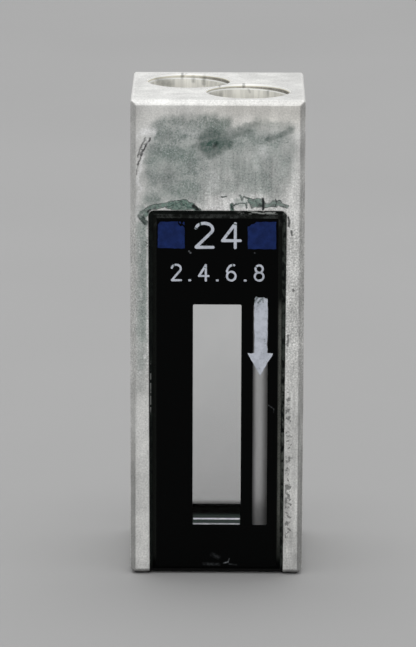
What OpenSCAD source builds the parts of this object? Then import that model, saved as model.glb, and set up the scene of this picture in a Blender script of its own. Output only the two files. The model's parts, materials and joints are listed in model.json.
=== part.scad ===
// Flow-through cuvette, all sizes in millimetres.
// A metal housing with two threaded ports in its head carries a flat cell of fused black and
// clear silica.  Liquid comes in at the inlet port, runs down a narrow channel, turns into the
// measuring chamber at the bottom and leaves through the outlet port.
// Frame: X across the front, -Y out of the front face, +Z up, origin at the centre of the base.

/* [Housing] */
// Width across the front
body_w = 12.5; // [12:0.1:16]
// Depth from front to rear
body_d = 12.5; // [12:0.1:16]
// Height over all
body_h = 35; // [33:0.5:48]
// Wall of each side leg
leg_wall = 1.3; // [0.9:0.05:1.4]
// Height of the solid head above the cell
head_h = 8; // [7:0.5:12]
// Edge break on the outside edges
edge_break = 0.4; // [0.1:0.05:0.6]
// Finer edge break along the two side edges of the top face
top_break = 0.15; // [0.05:0.05:0.6]
// Corner radius left by the cutter in the cell's pocket
pocket_r = 0.4; // [0.1:0.05:0.6]

/* [Ports] */
// Tapping diameter of the port threads
port_core_d = 5; // [4:0.1:5.2]
// Diameter of the countersunk mouth
port_mouth_d = 6.1; // [5.9:0.05:6.1]
// Diameter of the plain entry above the thread
port_entry_d = 5.8; // [5.3:0.05:5.8]
// Depth of the plain entry, below the top face
port_entry_h = 1.3; // [0.5:0.1:2.5]
// Depth of a port, below the top face
port_depth = 6.5; // [4:0.1:6.5]
// Offset of each port from the centre, across
port_x = 2.15; // [2.15:0.05:2.4]
// Offset of each port from the centre, front to rear
port_y = 2.2; // [2.2:0.05:2.4]
// Diameter of the ducts from the ports to the cell
duct_d = 0.9; // [0.5:0.1:1]

/* [Cell] */
// Adhesive layer between the cell and its pocket
glue_gap = 0.1; // [0.05:0.01:0.2]
// Set-back of the cell's faces behind the housing's faces
face_recess = 0.2; // [0.1:0.05:0.4]
// Set-back of the cell's bottom above the housing's feet
base_recess = 0.1; // [0.05:0.05:0.4]
// Ground bevel round the cell's front and rear faces
cell_bevel = 0.5; // [0.3:0.05:0.7]
// Thickness of each black mask plate
mask_t = 2.2; // [1:0.1:2.4]
// Width that the glue bead covers on the bevel
bead_w = 0.22; // [0.1:0.02:0.28]

/* [Optical path] */
// Path length of the chamber, front to rear
path_len = 1; // [0.5:0.1:2]
// Width of the measuring window
window_w = 3.5; // [2:0.1:3.6]
// Height of the measuring window
window_h = 16.4; // [8:0.1:18]
// Bottom of the window above the base
window_z = 3.7; // [3:0.1:5]
// Corner radius of the cut-outs in the masks
window_r = 0.12; // [0.05:0.01:0.3]
// Extra width of the chamber on each side of the window
chamber_side = 0.05; // [0.02:0.01:0.15]
// Step from the window's bottom up to the chamber's bottom
chamber_step = 0.3; // [0.1:0.05:0.5]
// Centre of the inlet channel, right of the middle
channel_x = 3.12; // [2.95:0.01:3.2]
// Width of the inlet channel
channel_w = 1; // [0.6:0.05:1.05]
// Extra width of the front cut-out on each side of the channel
strip_side = 0.03; // [0.01:0.01:0.05]
// Height of the link between channel and chamber
link_h = 1; // [0.5:0.1:2]
// Margin of the rear opening round the window and the channel
rear_margin = 0.5; // [0.3:0.05:0.55]
// How much lower the rear opening reaches than the window
rear_drop = 1.5; // [0.5:0.1:2]

/* [Hidden] */
$fn = 96;
// Overshoot of cutting bodies past a face
over = 1;

// Pocket and cell, worked out from the housing
pocket_w = body_w - 2 * leg_wall;
pocket_h = body_h - head_h;
cell_w = pocket_w - 2 * glue_gap;
cell_top = pocket_h - glue_gap;
cell_y = body_d / 2 - face_recess;      // front and rear faces of the cell lie at -+ this
window_y = cell_y - mask_t;             // outer side of the clear blocks
chamber_y = path_len / 2;               // inner side of the clear blocks

// Heights of the hollow spaces
window_top = window_z + window_h;
chamber_z = window_z + chamber_step;
duct_land = 0.6;                        // how far the chamber and channel pass the window's top
land_root = 0.5;                        // how deep a land is rooted in its clear block
chamber_top = window_top + duct_land;
chamber_w = window_w + 2 * chamber_side;
strip_w = channel_w + 2 * strip_side;

// Where the ducts start in the head and where they reach the cell's hollow spaces
inlet_top = [port_x, -port_y, body_h - port_depth];
inlet_turn = [port_x, -port_y, cell_top];
inlet_end = [channel_x, 0, chamber_top - duct_d / 2];
outlet_top = [-port_x, port_y, body_h - port_depth];
outlet_turn = [-port_x, port_y, cell_top];
outlet_end = [-window_w / 4, 0, chamber_top - duct_d / 2];

black_glass = [0.05, 0.05, 0.055];
clear_glass = [0.8, 0.86, 0.88, 0.35];
satin_metal = [0.8, 0.8, 0.78];
glue_black = [0.16, 0.17, 0.17];

// A rectangle centred on X = 0 whose outline starts at y = 0, with its corners cut off:
// the two at y = 0 by c, the two at y = h by t
module broken_rect(w, h, c, t) {
    polygon([[-w / 2 + c, 0], [w / 2 - c, 0], [w / 2, c], [w / 2, h - t],
             [w / 2 - t, h], [-w / 2 + t, h], [-w / 2, h - t], [-w / 2, c]]);
}

// A rectangle with round corners, centred on x, from height z up
module round_rect(x, z, w, h, r) {
    translate([x - w / 2 + r, z]) square([w - 2 * r, h]);
    translate([x - w / 2, z + r]) square([w, h - 2 * r]);
    for (px = [x - w / 2 + r, x + w / 2 - r], pz = [z + r, z + h - r])
        translate([px, pz]) circle(r);
}

// Stands a flat outline up in the X-Z plane and gives it the depth from y0 to y1
module upright(y0, y1) {
    translate([0, y1, 0]) rotate([90, 0, 0]) linear_extrude(y1 - y0) children();
}

// Lays a flat outline on its side, so that its x runs along Y and its y along Z
module sideways(w) {
    translate([-w / 2, 0, 0]) rotate([90, 0, 90]) linear_extrude(w) children();
}

// The upright part of a duct, from the port's bottom down through the head and the adhesive
module head_duct(top, turn) {
    translate([turn[0], turn[1], turn[2] - over])
        cylinder(h = top[2] - turn[2] + over + duct_d / 2, d = duct_d);
}

// The oblique part of a duct, from the cell's top to its middle layer
module cell_duct(turn, end) {
    v = end - turn;
    run = norm(v);
    translate(turn) rotate([0, acos(v[2] / run), atan2(v[1], v[0])])
        translate([0, 0, -over]) cylinder(h = run + over, d = duct_d);
}

// A port: bore at tapping size, plain entry above it and a small countersink at the mouth
module port(x, y) {
    sink = (port_mouth_d - port_entry_d) / 2;
    translate([x, y, body_h - port_depth]) cylinder(h = port_depth + over, d = port_core_d);
    translate([x, y, body_h - port_entry_h])
        cylinder(h = port_entry_h + over, d = port_entry_d);
    translate([x, y, body_h - sink])
        cylinder(h = sink, d1 = port_entry_d, d2 = port_mouth_d);
    translate([x, y, body_h]) cylinder(h = over, d = port_mouth_d);
}

// The outside block with its edge breaks on all twelve edges
module outer_block() {
    intersection() {
        linear_extrude(body_h) translate([0, -body_d / 2])
            broken_rect(body_w, body_d, edge_break, edge_break);
        upright(-body_d / 2, body_d / 2) broken_rect(body_w, body_h, edge_break, top_break);
        sideways(body_w) broken_rect(body_d, body_h, edge_break, edge_break);
    }
}

// The milled pocket, open at the front, the rear and the bottom, from y0 to y1
module pocket(y0, y1, z0) {
    upright(y0, y1) {
        translate([-pocket_w / 2, z0]) square([pocket_w, pocket_h - pocket_r - z0]);
        translate([-pocket_w / 2 + pocket_r, z0]) square([pocket_w - 2 * pocket_r, pocket_h - z0]);
        for (s = [-1, 1])
            translate([s * (pocket_w / 2 - pocket_r), pocket_h - pocket_r]) circle(pocket_r);
    }
}

// The cell's envelope: ground bevels round both faces, top corners cut to clear the pocket's
module cell_block() {
    tall = cell_top - base_recess;
    intersection() {
        translate([0, -cell_y, base_recess]) linear_extrude(tall)
            broken_rect(cell_w, 2 * cell_y, cell_bevel, cell_bevel);
        translate([0, 0, base_recess]) sideways(cell_w)
            broken_rect(2 * cell_y, tall, cell_bevel, cell_bevel);
        upright(-cell_y, cell_y) polygon([
            [-cell_w / 2, base_recess], [cell_w / 2, base_recess],
            [cell_w / 2, cell_top - pocket_r], [cell_w / 2 - pocket_r, cell_top],
            [-cell_w / 2 + pocket_r, cell_top], [-cell_w / 2, cell_top - pocket_r]]);
    }
}

// One layer of the cell, from y0 to y1
module cell_layer(y0, y1) {
    intersection() {
        cell_block();
        translate([-cell_w / 2 - over, y0, 0]) cube([cell_w + 2 * over, y1 - y0, body_h]);
    }
}

// Outlines of the openings in the masks and the spacer
module window_outline() {
    round_rect(0, window_z, window_w, window_h, window_r);
}
module strip_outline() {
    round_rect(channel_x, window_z, strip_w, window_h, window_r);
}
module rear_outline() {
    left = -window_w / 2 - rear_margin;
    right = channel_x + strip_w / 2 + rear_margin;
    round_rect((left + right) / 2, window_z - rear_drop, right - left,
               window_h + rear_drop + rear_margin, window_r);
}
module flow_outline() {
    round_rect(0, chamber_z, chamber_w, chamber_top - chamber_z, window_r);
    round_rect(channel_x, chamber_z, channel_w, chamber_top - chamber_z, window_r);
    translate([0, chamber_z]) square([channel_x, link_h]);
}

module housing() {
    color(satin_metal) difference() {
        outer_block();
        pocket(-body_d / 2 - over, body_d / 2 + over, -over);
        port(port_x, -port_y);
        port(-port_x, port_y);
        head_duct(inlet_top, inlet_turn);
        head_duct(outlet_top, outlet_turn);
    }
}

// Black plate on the front, cut out for the window and for the channel
module front_mask() {
    color(black_glass) difference() {
        cell_layer(-cell_y, -window_y);
        upright(-cell_y - over, -window_y + over) { window_outline(); strip_outline(); }
    }
}

// Clear block behind the front mask, with lands that fill its two cut-outs
module front_window() {
    color(clear_glass) difference() {
        union() {
            cell_layer(-window_y, -chamber_y);
            upright(-cell_y, -window_y + land_root) { window_outline(); strip_outline(); }
        }
        cell_duct(inlet_turn, inlet_end);
    }
}

// Black plate that sets the path length, open for the chamber, the channel and their link
module chamber_spacer() {
    color(black_glass) difference() {
        cell_layer(-chamber_y, chamber_y);
        upright(-chamber_y - over, chamber_y + over) flow_outline();
    }
}

// Clear block behind the chamber, with the land that fills the rear opening
module rear_window() {
    color(clear_glass) difference() {
        union() {
            cell_layer(chamber_y, window_y);
            upright(window_y - land_root, cell_y) rear_outline();
        }
        cell_duct(outlet_turn, outlet_end);
    }
}

// Black plate on the rear with one opening for window and channel
module rear_mask() {
    color(black_glass) difference() {
        cell_layer(window_y, cell_y);
        upright(window_y - over, cell_y + over) rear_outline();
    }
}

// Adhesive all round the cell inside the pocket, with a sloped bead along both faces.
// The bead runs from the pocket's wall near the housing's face down to the middle of the bevel.
module adhesive() {
    bead_y = cell_y - cell_bevel + bead_w;       // depth at which the bead meets the bevel
    wall_y = cell_y - glue_gap / 2;              // depth at which it meets the pocket's wall
    inner = cell_w / 2 - bead_w;
    slope = (wall_y - bead_y) / (pocket_w / 2 - inner);
    far = cell_y + over;                         // well past the cell's faces
    spread = (far - bead_y) / slope;             // widening of the cut over that distance
    color(glue_black) difference() {
        pocket(-wall_y, wall_y, base_recess);
        cell_block();
        for (s = [-1, 1]) intersection() {
            linear_extrude(body_h) polygon([
                [-inner, s * bead_y], [inner, s * bead_y],
                [inner + spread, s * far], [-inner - spread, s * far]]);
            sideways(body_w) polygon([
                [s * bead_y, -over], [s * bead_y, cell_top - bead_w],
                [s * far, cell_top - bead_w + spread], [s * far, -over]]);
        }
        head_duct(inlet_top, inlet_turn);
        head_duct(outlet_top, outlet_turn);
    }
}

housing();
front_mask();
front_window();
chamber_spacer();
rear_window();
rear_mask();
adhesive();
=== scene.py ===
"""Looks of the flow-through cuvette: satin metal housing, black and clear silica cell, prints."""

import json
import math

import bmesh
import bpy
from mathutils import Matrix, Vector, noise


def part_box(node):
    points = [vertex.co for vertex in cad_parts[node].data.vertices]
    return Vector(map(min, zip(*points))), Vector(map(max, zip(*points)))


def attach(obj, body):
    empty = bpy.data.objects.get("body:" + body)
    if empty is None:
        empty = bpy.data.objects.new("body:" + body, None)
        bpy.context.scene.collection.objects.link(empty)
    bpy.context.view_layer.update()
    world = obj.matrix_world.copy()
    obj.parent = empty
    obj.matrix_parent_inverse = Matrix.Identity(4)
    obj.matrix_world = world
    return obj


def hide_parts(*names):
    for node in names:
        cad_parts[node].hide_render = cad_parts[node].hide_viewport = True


bl_info = {
    "name": "Flow-through cuvette",
    "version": (1, 0, 0),
    "blender": (4, 5, 0),
    "location": "View3D > Sidebar > Cuvette",
    "description": "Dresses the packed cuvette with its metal, glass, thread and print looks",
    "category": "Object",
}

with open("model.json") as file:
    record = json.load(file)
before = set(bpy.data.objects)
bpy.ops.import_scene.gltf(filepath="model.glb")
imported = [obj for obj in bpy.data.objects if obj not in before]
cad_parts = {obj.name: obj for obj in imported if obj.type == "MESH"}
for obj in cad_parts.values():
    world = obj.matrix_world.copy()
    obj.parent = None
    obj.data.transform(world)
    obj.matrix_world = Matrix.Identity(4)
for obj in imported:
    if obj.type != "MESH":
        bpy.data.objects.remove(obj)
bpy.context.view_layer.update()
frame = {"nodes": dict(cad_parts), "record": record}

MM = 0.001
WELD = 0.0005 * MM                       # points closer than this are one
BODY = "root"

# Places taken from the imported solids, in millimetres
HOUSE_LOW, HOUSE_HIGH = (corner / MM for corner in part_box("housing"))
CELL_LOW, CELL_HIGH = (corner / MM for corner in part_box("front_mask"))
TOP = HOUSE_HIGH.z                       # height of the housing's top face
MOUNTS = {m["name"]: m for m in frame["record"]["mounts"]}
PORTS = [Vector(MOUNTS[name]["pos_m"]) / MM for name in ("inlet_port", "outlet_port")]
PORT_CORE_R = MOUNTS["inlet_port"]["dims"]["r_mm"]
FACE_Y = CELL_LOW.y                      # the cell's front face
SEAM_Y = CELL_HIGH.y                     # the joint behind the front mask
BESIDE_X = 2.2                           # lies between the window and the channel beside it


def land_edges(node, side):
    """Left, right, bottom and top of a clear block's land, beside the window or at it."""
    face = [v.co / MM for v in frame["nodes"][node].data.vertices
            if abs(v.co.y / MM - FACE_Y) < 0.01 and (v.co.x / MM > BESIDE_X) == side]
    xs, zs = [p.x for p in face], [p.z for p in face]
    return min(xs), max(xs), min(zs), max(zs)


CHAMBER_FOOT = min(v.co.z / MM for v in frame["nodes"]["chamber_spacer"].data.vertices
                   if abs(v.co.x / MM) < 2.0 and v.co.z / MM > 1.0)
WINDOW = land_edges("front_window", False)
STRIP = land_edges("front_window", True)


# ---------------------------------------------------------------- shader building

class Value:
    """What a node gives; reckoning with it makes maths nodes in the same tree."""

    def __init__(self, graph, socket):
        self.graph, self.socket = graph, socket

    def __abs__(self):
        return self.graph.math("ABSOLUTE", self)


def reckoning(operation, turned):
    """A method that takes a value and another one into a maths node."""
    def method(self, other):
        return self.graph.math(operation, *((other, self) if turned else (self, other)))
    return method


for sign, operation in (("add", "ADD"), ("sub", "SUBTRACT"), ("mul", "MULTIPLY"),
                        ("truediv", "DIVIDE"), ("pow", "POWER")):
    setattr(Value, "__" + sign + "__", reckoning(operation, False))
    setattr(Value, "__r" + sign + "__", reckoning(operation, True))


class Graph:
    """Short names for making and joining the nodes of one tree."""

    def __init__(self, tree, material=None):
        self.tree, self.material = tree, material

    def add(self, kind, inputs=None, out=0, **props):
        """Makes a node and gives one of its outputs, a list of them, or the node itself."""
        node = self.tree.nodes.new(kind)
        for key, value in props.items():
            setattr(node, key, value)
        for key, value in (inputs or {}).items():
            self.put(node.inputs[key], value)
        if out is None:
            return node
        if isinstance(out, tuple):
            return [Value(self, node.outputs[key]) for key in out]
        return Value(self, node.outputs[out])

    def put(self, socket, value):
        if isinstance(value, Value):
            self.tree.links.new(value.socket, socket)
        elif value is not None:
            if socket.type == "RGBA":
                value = (value,) * 3 if isinstance(value, float) else value
                value = (*value, 1.0) if len(value) == 3 else value
            socket.default_value = value

    def math(self, operation, *values):
        return self.add("ShaderNodeMath", dict(enumerate(values)), operation=operation)

    def vector(self, operation, *values):
        out = 1 if operation in ("DOT_PRODUCT", "DISTANCE") else 0
        return self.add("ShaderNodeVectorMath", dict(enumerate(values)), out, operation=operation)

    def scaled(self, vector, factor):
        return self.add("ShaderNodeVectorMath", {0: vector, 3: factor}, operation="SCALE")

    def split(self, vector):
        return self.add("ShaderNodeSeparateXYZ", {0: vector}, (0, 1, 2))

    def join(self, x, y, z):
        return self.add("ShaderNodeCombineXYZ", {0: x, 1: y, 2: z})

    def noise(self, vector, scale, detail=2.0, rough=0.5, stretch=None):
        if stretch:
            vector = self.add("ShaderNodeMapping", {"Vector": vector, "Scale": stretch})
        return self.add("ShaderNodeTexNoise", {"Vector": vector, "Scale": scale, "Detail": detail,
                                               "Roughness": rough})

    def millimetres(self):
        """Object coordinates in millimetres."""
        return self.add("ShaderNodeMapping", {
            "Vector": self.add("ShaderNodeTexCoord", out="Object"), "Scale": (1 / MM,) * 3})

    def facing(self):
        """The surface's direction, in the part's own frame."""
        return self.add("ShaderNodeTexCoord", out="Normal")

    def group(self, name, inputs, out=0):
        return self.add("ShaderNodeGroup", inputs, out, node_tree=EFFECTS[name]())

    def bump(self, height, distance, strength):
        return self.add("ShaderNodeBump", {"Height": height, "Distance": distance * MM,
                                           "Strength": strength})

    def surface(self, **sockets):
        """Ends a material in a Principled shader with these sockets, and gives the material."""
        shader = self.add("ShaderNodeBsdfPrincipled", None, None)
        for key, value in sockets.items():
            self.put(shader.inputs[key.replace("_", " ")], value)
        output = self.add("ShaderNodeOutputMaterial", None, None)
        self.tree.links.new(shader.outputs[0], output.inputs["Surface"])
        return self.material

    def result(self, sockets):
        """Ends a node group in what it gives, and gives the group."""
        self.add("NodeGroupOutput", sockets, None)
        return self.tree


def graph_of(values):
    """The tree of the first node value among some values."""
    return next(value.graph for value in values if isinstance(value, Value))


def chain(operation, values):
    """One maths operation over all the values."""
    graph, total = graph_of(values), values[0]
    for value in values[1:]:
        total = graph.math(operation, total, value)
    return total


def most(*values):
    return chain("MAXIMUM", values)


def least(*values):
    return chain("MINIMUM", values)


def clamped(value):
    """Keeps what a maths node gives between 0 and 1."""
    value.socket.node.use_clamp = True
    return value


def ramp(value, low, high, to_low=0.0, to_high=1.0, kind="SMOOTHSTEP"):
    """Goes softly from to_low at low to to_high at high."""
    return value.graph.add("ShaderNodeMapRange", {0: value, 1: low, 2: high, 3: to_low,
                                                  4: to_high}, interpolation_type=kind)


def fall(value, low, high):
    """Goes softly from 1 at low to 0 at high."""
    return ramp(value, low, high, 1.0, 0.0)


def spread(texture, low, high):
    """The usual range of a noise, stretched evenly from low to high."""
    return ramp(texture, 0.3, 0.7, low, high, "LINEAR")


def mix(factor, first, second, blend="MIX"):
    """Goes from the first colour at factor 0 to the second at 1."""
    return graph_of((factor, first, second)).add(
        "ShaderNodeMix", {0: factor, 6: first, 7: second}, 2, data_type="RGBA", blend_type=blend)


def tinted(first, second):
    """One colour or grey level times another."""
    return mix(1.0, first, second, "MULTIPLY")


def darker(colour, share):
    """A plain colour with only a share of its light."""
    return tuple(share * part for part in colour)


def new_group(name, inputs, outputs, kind="ShaderNodeTree"):
    """An empty node group with these sockets; returns its graph and what it is given."""
    tree = bpy.data.node_groups.new(name, kind)
    for label, socket_kind, value in inputs:
        socket = tree.interface.new_socket(name=label, in_out="INPUT", socket_type=socket_kind)
        if value is not None:
            socket.default_value = value
    for label, socket_kind in outputs:
        tree.interface.new_socket(name=label, in_out="OUTPUT", socket_type=socket_kind)
    graph, start = Graph(tree), tree.nodes.new("NodeGroupInput")
    return graph, [Value(graph, socket) for socket in start.outputs[:len(inputs)]]


def once(make):
    """Builds a shared effect or material the first time it is asked for."""
    kept = {}

    def get():
        if "made" not in kept:
            kept["made"] = make()
        return kept["made"]
    return get


EFFECTS = {}


def effect(name, inputs, outputs=("Mask",)):
    """Keeps a builder as a shared effect; an input is a number where its default is one, and a
    vector elsewhere."""
    def keep(build):
        def make():
            graph, given = new_group(
                name, [(label, "NodeSocketFloat" if isinstance(value, float)
                        else "NodeSocketVector", value) for label, value in inputs.items()],
                [(label, "NodeSocketFloat") for label in outputs])
            made = build(graph, *given)
            return graph.result(dict(zip(outputs, made if isinstance(made, tuple) else [made])))
        EFFECTS[name] = once(make)
        return build
    return keep


@effect("Streak", {"Place": None, "From": None, "To": None, "Half Width": 0.5, "Softness": 0.3,
                   "Strength": 1.0})
def streak_effect(graph, place, start, end, half_width, softness, strength):
    """Soft mask round a line from one point to another; with both points equal it is a spot."""
    along = graph.vector("SUBTRACT", end, start)
    away = graph.vector("SUBTRACT", place, start)
    length = most(graph.vector("DOT_PRODUCT", along, along), 1e-06)
    share = clamped(graph.vector("DOT_PRODUCT", away, along) / length)
    distance = graph.vector("DISTANCE", away, graph.scaled(along, share))
    return fall(distance, half_width - softness, half_width + softness) * strength


@effect("Grain", {"Place": None, "Size": 0.12, "Mottle Size": 1.5}, ("Value", "Height"))
def grain_effect(graph, place, size, mottle_size):
    """Fine blasted grain with a broad mottle: a value round 0.5 and a height for bumps."""
    fine = graph.noise(place, 1.0 / size, 3.0, 0.65)
    return fine * 0.55 + graph.noise(place, 1.0 / mottle_size, 3.0) * 0.45, fine


@effect("Specks", {"Place": None, "Spacing": 0.5, "Size": 0.1, "Where": 1.0})
def speck_effect(graph, place, spacing, size, where):
    """Scattered specks, such as dust, the more of them the nearer Where is to 1."""
    warp = graph.add("ShaderNodeTexNoise", {"Vector": place, "Scale": 5.0}, 1)
    tint, distance = graph.add("ShaderNodeTexVoronoi", {
        "Vector": graph.vector("ADD", place, graph.scaled(warp, 0.12)),
        "Scale": 1.0 / spacing}, ("Color", "Distance"))
    large, pick, _ = graph.split(tint)
    reach = size / spacing * ramp(large, 0.0, 1.0, 0.25, 1.0, "LINEAR")
    return (fall(distance, reach * 0.6, reach)
            * graph.math("LESS_THAN", pick, where))


@effect("Pits", {"Place": None, "Size": 0.2, "Where": 1.0})
def pit_effect(graph, place, size, where):
    """Irregular pits, the more of them the nearer Where is to 1."""
    spots = graph.add("ShaderNodeTexNoise", {"Vector": place, "Scale": 1.0 / size, "Detail": 3.0,
                                             "Roughness": 0.6, "Distortion": 0.4})
    low = ramp(where, 0.0, 1.0, 0.82, 0.485, "LINEAR")
    low += ramp(graph.noise(place, 1.3, 2.0), 0.35, 0.65, 0.07, -0.03)
    return ramp(spots, low - 0.02, low + 0.1)


@effect("Scratches", {"Place": None, "Stretch": (1.0, 1.0, 0.05), "Scale": 6.0, "Amount": 0.3})
def scratch_effect(graph, place, stretch, scale, amount):
    """Fine hair lines that run mainly along one axis."""
    lines = graph.noise(place, scale, 4.0, 0.7, stretch)
    low = 0.72 - amount * 0.2
    return ramp(lines, low, low + 0.06)


@effect("Edge wear", {"Place": None, "Low": None, "High": None, "Width": 0.5})
def edge_effect(graph, place, low, high, width):
    """Wear along the outside edges of a box, from the distance to its two nearest sides."""
    down = graph.split(graph.vector("SUBTRACT", place, low))
    up = graph.split(graph.vector("SUBTRACT", high, place))
    x, y, z = (least(a, b) for a, b in zip(down, up))
    # The middle one of the three distances tells how near the closest edge is
    middle = most(least(x, y), least(most(x, y), z))
    return fall(middle + (graph.noise(place, 2.5, 4.0, 0.65) - 0.5) * width, 0.0, width)


def new_material(name, colour):
    """A material with an empty node tree, as its graph and the place in millimetres; colour is
    what it shows in solid view."""
    material = bpy.data.materials.new(name)
    material.use_nodes = True
    material.node_tree.nodes.clear()
    material.diffuse_color = (*colour[:3], 1.0)
    graph = Graph(material.node_tree, material)
    return graph, graph.millimetres()


# ---------------------------------------------------------------- metal

# Stains on the head's front, as (from x, z), (to x, z), half width, softness, strength.
# Each list belongs to one stain colour.
HAZE = [
    ((-2.9, 31.2), (3.3, 30.8), 2.3, 0.4, 0.6),
    ((-3.9, 29.2), (3.4, 29.2), 1.1, 0.45, 0.6),
    ((-3.8, 32.7), (-0.4, 33.1), 0.9, 0.35, 1.0),
    ((-4.1, 31.6), (-1.6, 30.4), 1.0, 0.6, 1.0),
    ((-4.2, 29.2), (-1.8, 28.3), 0.9, 0.6, 0.9),
    ((0.3, 32.0), (4.5, 32.2), 0.7, 0.5, 0.8),
    ((-0.2, 33.1), (0.6, 33.5), 0.4, 0.25, 0.85),
    ((3.5, 31.2), (3.9, 28.6), 0.7, 0.65, 0.75),
    ((-4.7, 30.6), (-4.6, 27.8), 0.5, 0.4, 0.75),
    ((3.0, 33.5), (5.0, 33.2), 0.3, 0.25, 0.45),
    ((-5.45, 27.0), (-5.45, 18.0), 0.38, 0.22, 0.62),
    ((-5.5, 18.0), (-5.5, 15.5), 0.32, 0.22, 0.42),
    ((-5.5, 15.5), (-5.5, 13.8), 0.26, 0.22, 0.18),
]
GREEN = [
    ((-4.4, 30.8), (-1.9, 31.2), 0.55, 0.5, 0.6),
    ((-3.0, 28.4), (-1.6, 28.7), 0.55, 0.5, 0.55),
    ((-4.2, 30.2), (-2.0, 30.0), 0.45, 0.4, 0.35),
    ((0.6, 31.7), (1.6, 31.9), 0.45, 0.4, 0.4),
    ((0.0, 32.8), (0.4, 33.4), 0.4, 0.3, 0.6),
    ((2.4, 32.5), (3.2, 31.9), 0.4, 0.35, 0.45),
    ((4.0, 31.8), (4.3, 31.2), 0.35, 0.3, 0.35),
    ((1.6, 30.0), (3.2, 29.0), 0.6, 0.5, 0.28),
    ((1.25, 27.6), (2.1, 27.6), 0.25, 0.15, 0.6),
    ((-4.9, 27.6), (-3.6, 28.1), 0.35, 0.3, 0.45),
    ((-5.28, 26.9), (-5.28, 17.5), 0.25, 0.2, 0.46),
    ((-5.28, 17.5), (-5.3, 15.0), 0.22, 0.2, 0.2),
]
DARK_GREEN = [
    ((-0.75, 31.65), (0.35, 32.0), 0.5, 0.3, 0.92),
    ((-0.5, 31.8), (-0.05, 31.9), 0.32, 0.25, 1.1),
    ((-0.65, 31.3), (0.0, 31.35), 0.36, 0.25, 0.75),
    ((-0.9, 32.3), (0.4, 32.4), 0.4, 0.3, 0.6),
    ((0.3, 32.3), (2.2, 32.8), 0.28, 0.25, 0.5),
    ((1.5, 32.9), (2.9, 33.25), 0.16, 0.16, 0.45),
    ((-1.6, 31.7), (-1.3, 31.9), 0.22, 0.2, 0.4),
    ((-3.6, 32.5), (-3.9, 32.3), 0.3, 0.25, 0.25),
    ((3.5, 32.3), (3.65, 32.4), 0.16, 0.14, 0.65),
    ((3.7, 32.35), (5.1, 32.95), 0.2, 0.2, 0.5),
    ((4.95, 31.9), (5.0, 31.95), 0.05, 0.05, 0.5),
    ((-0.9, 33.1), (-0.85, 33.6), 0.14, 0.14, 0.3),
]
CRUST = [
    ((-5.5, 26.85), (-4.85, 27.2), 0.1, 0.07, 0.75),
    ((-4.85, 27.2), (-3.5, 27.46), 0.15, 0.06, 0.85),
    ((-3.45, 27.42), (-2.35, 27.55), 0.26, 0.08, 0.95),
    ((-3.2, 27.2), (-2.0, 27.2), 0.14, 0.07, 0.9),
    ((-2.3, 27.5), (-1.9, 27.35), 0.24, 0.08, 1.0),
    ((-1.8, 27.3), (-1.35, 27.05), 0.16, 0.07, 1.0),
    ((1.05, 27.0), (1.02, 27.45), 0.13, 0.06, 1.0),
    ((2.3, 27.7), (3.0, 27.75), 0.17, 0.08, 0.85),
    ((2.5, 27.5), (3.2, 27.5), 0.2, 0.1, 0.9),
    ((3.4, 27.42), (4.0, 27.5), 0.14, 0.08, 0.75),
    ((4.0, 27.55), (4.4, 27.6), 0.2, 0.1, 0.75),
    ((4.4, 27.5), (5.0, 27.33), 0.1, 0.07, 0.7),
    ((1.59, 28.16), (1.74, 27.83), 0.05, 0.06, 0.8),
    ((1.74, 27.83), (1.9, 28.06), 0.04, 0.06, 0.6),
    ((1.9, 28.06), (2.2, 27.89), 0.05, 0.06, 0.7),
    ((1.18, 27.43), (1.34, 27.54), 0.04, 0.06, 0.75),
    ((1.34, 27.54), (2.05, 27.59), 0.035, 0.06, 0.7),
    ((2.02, 27.59), (2.07, 27.25), 0.04, 0.06, 0.65),
    ((2.41, 27.49), (2.44, 27.21), 0.04, 0.06, 0.6),
    ((0.31, 28.03), (0.58, 28.05), 0.05, 0.06, 0.7),
    ((-5.55, 26.6), (-5.1, 26.1), 0.17, 0.14, 0.55),
    ((-5.15, 26.7), (-4.98, 26.9), 0.14, 0.08, 0.8),
]
CRUST_CORE = [
    ((-1.7, 27.35), (-1.4, 27.1), 0.12, 0.06, 1.0),
    ((3.22, 27.9), (3.26, 27.15), 0.09, 0.06, 1.0),
    ((2.95, 27.5), (3.15, 27.4), 0.12, 0.12, 0.5),
    ((4.17, 27.85), (4.17, 27.3), 0.04, 0.04, 0.8),
    ((1.05, 27.15), (1.05, 27.35), 0.07, 0.04, 0.8),
    ((-4.95, 26.95), (-4.85, 27.05), 0.08, 0.05, 0.9),
    ((-0.25, 31.7), (-0.15, 31.85), 0.13, 0.12, 0.6),
    ((-5.12, 24.7), (-4.97, 24.62), 0.03, 0.03, 0.75),
    ((-5.05, 24.35), (-4.97, 24.38), 0.04, 0.03, 0.7),
    ((5.08, 26.55), (5.15, 25.9), 0.08, 0.05, 0.85),
    ((5.3, 25.6), (5.33, 25.25), 0.06, 0.04, 0.7),
    ((5.42, 21.28), (5.45, 21.18), 0.08, 0.04, 0.7),
    ((5.1, 17.9), (5.08, 17.1), 0.07, 0.05, 0.6),
]
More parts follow.
